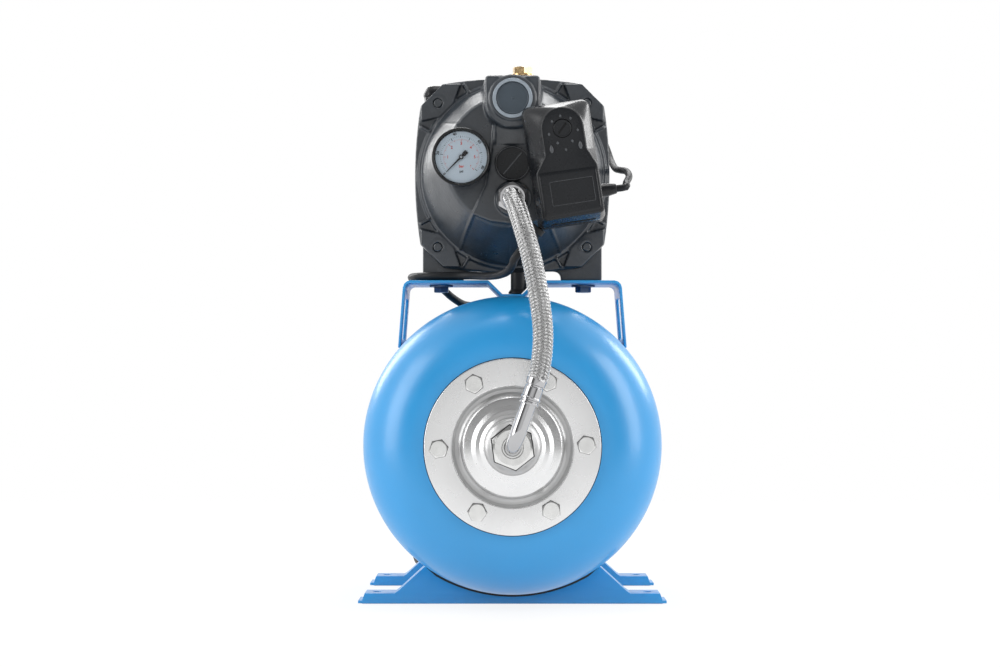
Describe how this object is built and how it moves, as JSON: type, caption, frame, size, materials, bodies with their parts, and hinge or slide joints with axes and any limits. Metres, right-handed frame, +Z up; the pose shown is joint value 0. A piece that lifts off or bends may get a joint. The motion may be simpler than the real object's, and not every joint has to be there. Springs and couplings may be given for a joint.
{
  "type": "booster pump set",
  "caption": "Electric water booster set: horizontal pressure tank on feet carrying a self-priming pump, motor, pressure gauge, pressure switch and braided hose.",
  "frame": {"origin": "on the floor, under the middle of the set without its mains lead", "axes": "+X to the right as seen from the tank's flange end, +Y along the tank's axis to its air valve, +Z up"},
  "size_m": [0.2848, 0.5573, 0.4894],
  "materials": {
    "blue_paint": "gloss powder coat",
    "black_cast_paint": "semi-gloss black paint over sand casting",
    "bright_steel": "bright zinc",
    "motor_steel": "plain steel",
    "chrome": "bright plating and stainless braid",
    "brass": "plain brass",
    "dark_plastic": "fine grained",
    "black_rubber": "matt",
    "dial_white": "printed card",
    "needle_black": "matt paint",
    "gauge_glass": "clear",
    "seal_ceramic": "lapped ceramic"
  },
  "bodies": {
    "set": {"tank_shell": "blue_paint", "foot_front": "blue_paint", "foot_rear": "blue_paint", "pump_platform": "blue_paint", "pump_casing": "black_cast_paint", "motor_bracket": "black_cast_paint", "motor_frame": "black_cast_paint", "fan_cover": "black_cast_paint", "end_shield": "black_cast_paint", "tank_flange": "bright_steel", "flange_bolt_1": "bright_steel", "flange_bolt_2": "bright_steel", "flange_bolt_3": "bright_steel", "flange_bolt_4": "bright_steel", "flange_bolt_5": "bright_steel", "flange_bolt_6": "bright_steel", "platform_bolt_left": "bright_steel", "platform_bolt_right": "bright_steel", "casing_bolt_1": "bright_steel", "casing_bolt_2": "bright_steel", "casing_bolt_3": "bright_steel", "casing_bolt_4": "bright_steel", "elbow_nut": "bright_steel", "stator": "motor_steel", "bearing_front": "motor_steel", "bearing_rear": "motor_steel", "hose_elbow": "chrome", "hose_ferrule": "chrome", "braided_hose": "chrome", "hose_nut": "chrome", "air_valve": "brass", "switch_nipple": "brass", "valve_cap": "dark_plastic", "outlet_plug": "dark_plastic", "suction_plug": "dark_plastic", "diffuser": "dark_plastic", "terminal_box": "dark_plastic", "terminal_box_lid": "dark_plastic", "gauge_case": "dark_plastic", "switch_base": "dark_plastic", "switch_cover": "dark_plastic", "tank_bladder": "black_rubber", "support_foot": "black_rubber", "switch_lead": "black_rubber", "mains_relief": "black_rubber", "mains_lead": "black_rubber", "mains_coil": "black_rubber", "mains_tail": "black_rubber", "mains_plug": "black_rubber", "gauge_dial": "dial_white", "gauge_glass": "gauge_glass", "seal_seat": "seal_ceramic"},
    "rotor": {"motor_shaft": "motor_steel", "rotor_core": "motor_steel", "impeller": "brass", "cooling_fan": "dark_plastic", "seal_ring": "motor_steel"},
    "needle": {"gauge_needle": "needle_black"},
    "adjuster": {"switch_screw": "dark_plastic"},
    "filler": {"priming_plug": "brass"}
  },
  "joints": [
    {"name": "rotor_spin", "type": "hinge", "parent": "set", "child": "rotor", "pos_m": [0, 0.02085, 0.395], "axis": [0, 1, 0], "continuous": true},
    {"name": "needle_sweep", "type": "hinge", "parent": "set", "child": "needle", "pos_m": [-0.0453, -0.18815, 0.4025], "axis": [0, 1, 0], "range_deg": [0, 270], "stiffness_Nm_per_rad": 0.0001},
    {"name": "cut_in_adjust", "type": "hinge", "parent": "set", "child": "adjuster", "pos_m": [0.04309, -0.22315, 0.42414], "axis": [0, 1, 0], "continuous": true},
    {"name": "priming_plug_lift", "type": "slide", "parent": "set", "child": "filler", "axis": [0, 0, 1], "range_m": [0, 0.012]}
  ]
}
